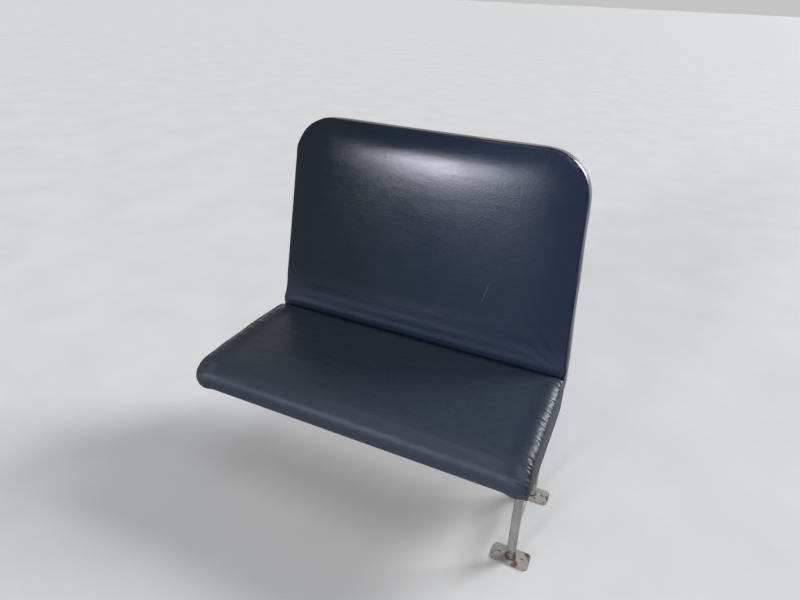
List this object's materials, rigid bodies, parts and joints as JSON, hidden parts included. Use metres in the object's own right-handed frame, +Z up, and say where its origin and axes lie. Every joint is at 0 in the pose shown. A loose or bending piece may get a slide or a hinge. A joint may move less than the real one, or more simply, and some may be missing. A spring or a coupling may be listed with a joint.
{
  "type": "school bus bench seat",
  "caption": "Padded vinyl bench seat of a school-type minibus, with a high back, a flip-up cushion, an aisle leg and wall brackets.",
  "frame": {"origin": "floor level, in the middle of the four floor bolt holes under the aisle leg", "axes": "+X across the bus towards the aisle, +Y towards the back of the seat, +Z up; the sitter faces -Y"},
  "size_m": [1.012, 0.6692, 1.0449],
  "materials": {
    "vinyl": "satin",
    "painted_tube": "worn, rusted",
    "plywood": "bare",
    "clip_steel": "zinc plated",
    "cap_plastic": "moulded"
  },
  "bodies": {
    "frame": {"seat_loop": "painted_tube", "rear_rail": "painted_tube", "centre_brace": "painted_tube", "front_leg": "painted_tube", "rear_leg": "painted_tube", "leg_stretcher": "painted_tube", "front_foot": "painted_tube", "rear_foot": "painted_tube", "wall_bracket_front": "painted_tube", "wall_bracket_rear": "painted_tube", "run_plugs": "cap_plastic", "back_hoop": "painted_tube", "joint_plates": "painted_tube", "back_cushion": "vinyl"},
    "cushion": {"seat_cushion": "vinyl", "cushion_board": "plywood", "hinge_clips": "clip_steel", "snap_clips": "clip_steel"}
  },
  "joints": [
    {"name": "cushion_flip", "type": "hinge", "parent": "frame", "child": "cushion", "pos_m": [-0.455, -0.19, 0.31], "axis": [1, 0, 0], "range_deg": [0, 95]}
  ]
}
